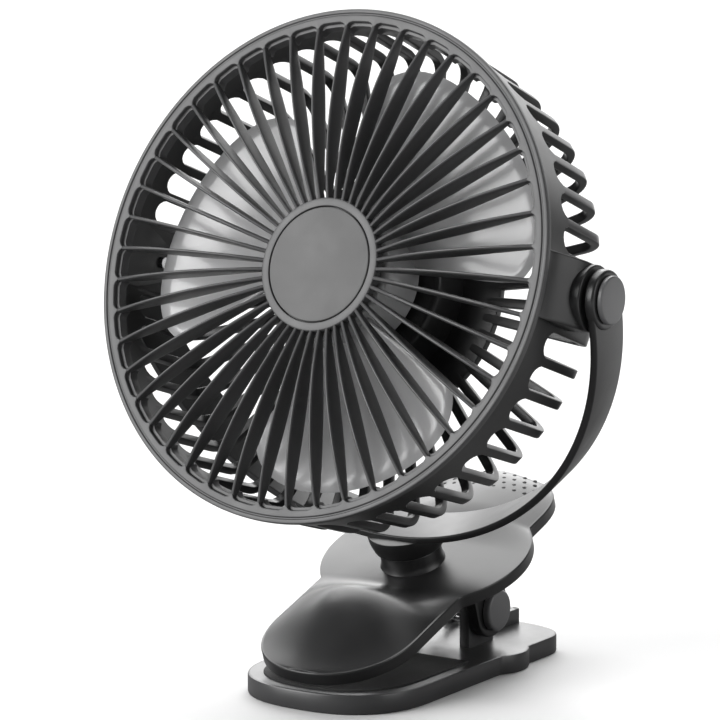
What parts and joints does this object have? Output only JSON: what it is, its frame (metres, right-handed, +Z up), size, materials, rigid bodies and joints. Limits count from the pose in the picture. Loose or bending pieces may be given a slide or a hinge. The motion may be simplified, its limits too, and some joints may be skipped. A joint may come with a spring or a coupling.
{
  "type": "clip-on desk fan",
  "caption": "Clip-on desk fan: a round caged fan head tilts in a U yoke that swivels on the domed upper jaw of a spring clip with a flat base.",
  "frame": {"origin": "underside of the base plate, on the middle plane, straight below the head's tilt axis at rest", "axes": "+Z up from the surface it stands on; +X along the tilt axis, to the right of someone who faces the fan's front; -Y to the side it blows to"},
  "size_m": [0.1712, 0.1296, 0.1987],
  "materials": {
    "shell": "satin moulded plastic, charcoal",
    "badge": "fine matt, mid grey",
    "button": "satin gloss, dark grey",
    "blade": "polished, grey",
    "rubber": "matt black",
    "steel": "bright nickel plate",
    "copper": "enamelled copper wire on a steel core",
    "board": "green solder mask",
    "foil": "crimped foil pouch",
    "magnet": "dark ferrite or moulded black",
    "lens": "clear light pipe"
  },
  "bodies": {
    "base": {"base_plate": "shell", "lower_pad": "rubber", "hinge_pin": "steel", "hinge_cap_left": "shell", "hinge_cap_right": "shell", "clip_spring": "steel"},
    "upper_jaw": {"jaw_shell": "shell", "jaw_underplate": "shell", "upper_pad": "rubber", "battery_cell": "foil", "jaw_screw_1": "steel", "jaw_screw_2": "steel", "jaw_screw_3": "steel", "jaw_screw_4": "steel"},
    "yoke": {"yoke": "shell", "swivel_washer": "steel", "swivel_screw": "steel", "pivot_screw_left": "steel", "pivot_screw_right": "steel", "pivot_cap_left": "shell", "pivot_cap_right": "shell"},
    "head": {"front_grille": "shell", "grille_badge": "badge", "rear_cage": "shell", "motor_cover": "shell", "motor_mount": "steel", "motor_screw_1": "steel", "motor_screw_2": "steel", "stator_core": "copper", "front_bearing": "steel", "rear_bearing": "steel", "control_board": "board", "tact_switch": "magnet", "charge_port": "steel", "indicator_lens": "lens", "cover_screw_1": "steel", "cover_screw_2": "steel", "cover_screw_3": "steel"},
    "impeller": {"impeller": "blade", "motor_shaft": "steel", "rotor_cup": "steel", "magnet_ring": "magnet"},
    "button": {"power_button": "button"}
  },
  "joints": [
    {"name": "clip_hinge", "type": "hinge", "parent": "base", "child": "upper_jaw", "pos_m": [0, 0.046, 0.017], "axis": [-1, 0, 0], "range_deg": [0, 35], "stiffness_Nm_per_rad": 0.9, "springref_deg": -45.84, "deforming": ["clip_spring"]},
    {"name": "neck_swivel", "type": "hinge", "parent": "upper_jaw", "child": "yoke", "pos_m": [0, 0.0313, 0.03145], "axis": [0, -0.3305, 0.9438], "range_deg": [-180, 180]},
    {"name": "head_tilt", "type": "hinge", "parent": "yoke", "child": "head", "pos_m": [0, -0.00013, 0.12119], "axis": [-1, 0, 0], "range_deg": [-190, 150]},
    {"name": "impeller_spin", "type": "hinge", "parent": "head", "child": "impeller", "pos_m": [0, -0.00013, 0.12119], "axis": [0, -0.9483, 0.3173], "continuous": true},
    {"name": "button_press", "type": "slide", "parent": "head", "child": "button", "axis": [0, -0.9483, 0.3173], "range_m": [0, 0.0005], "stiffness_N_per_m": 400, "springref_m": -0.0005}
  ]
}
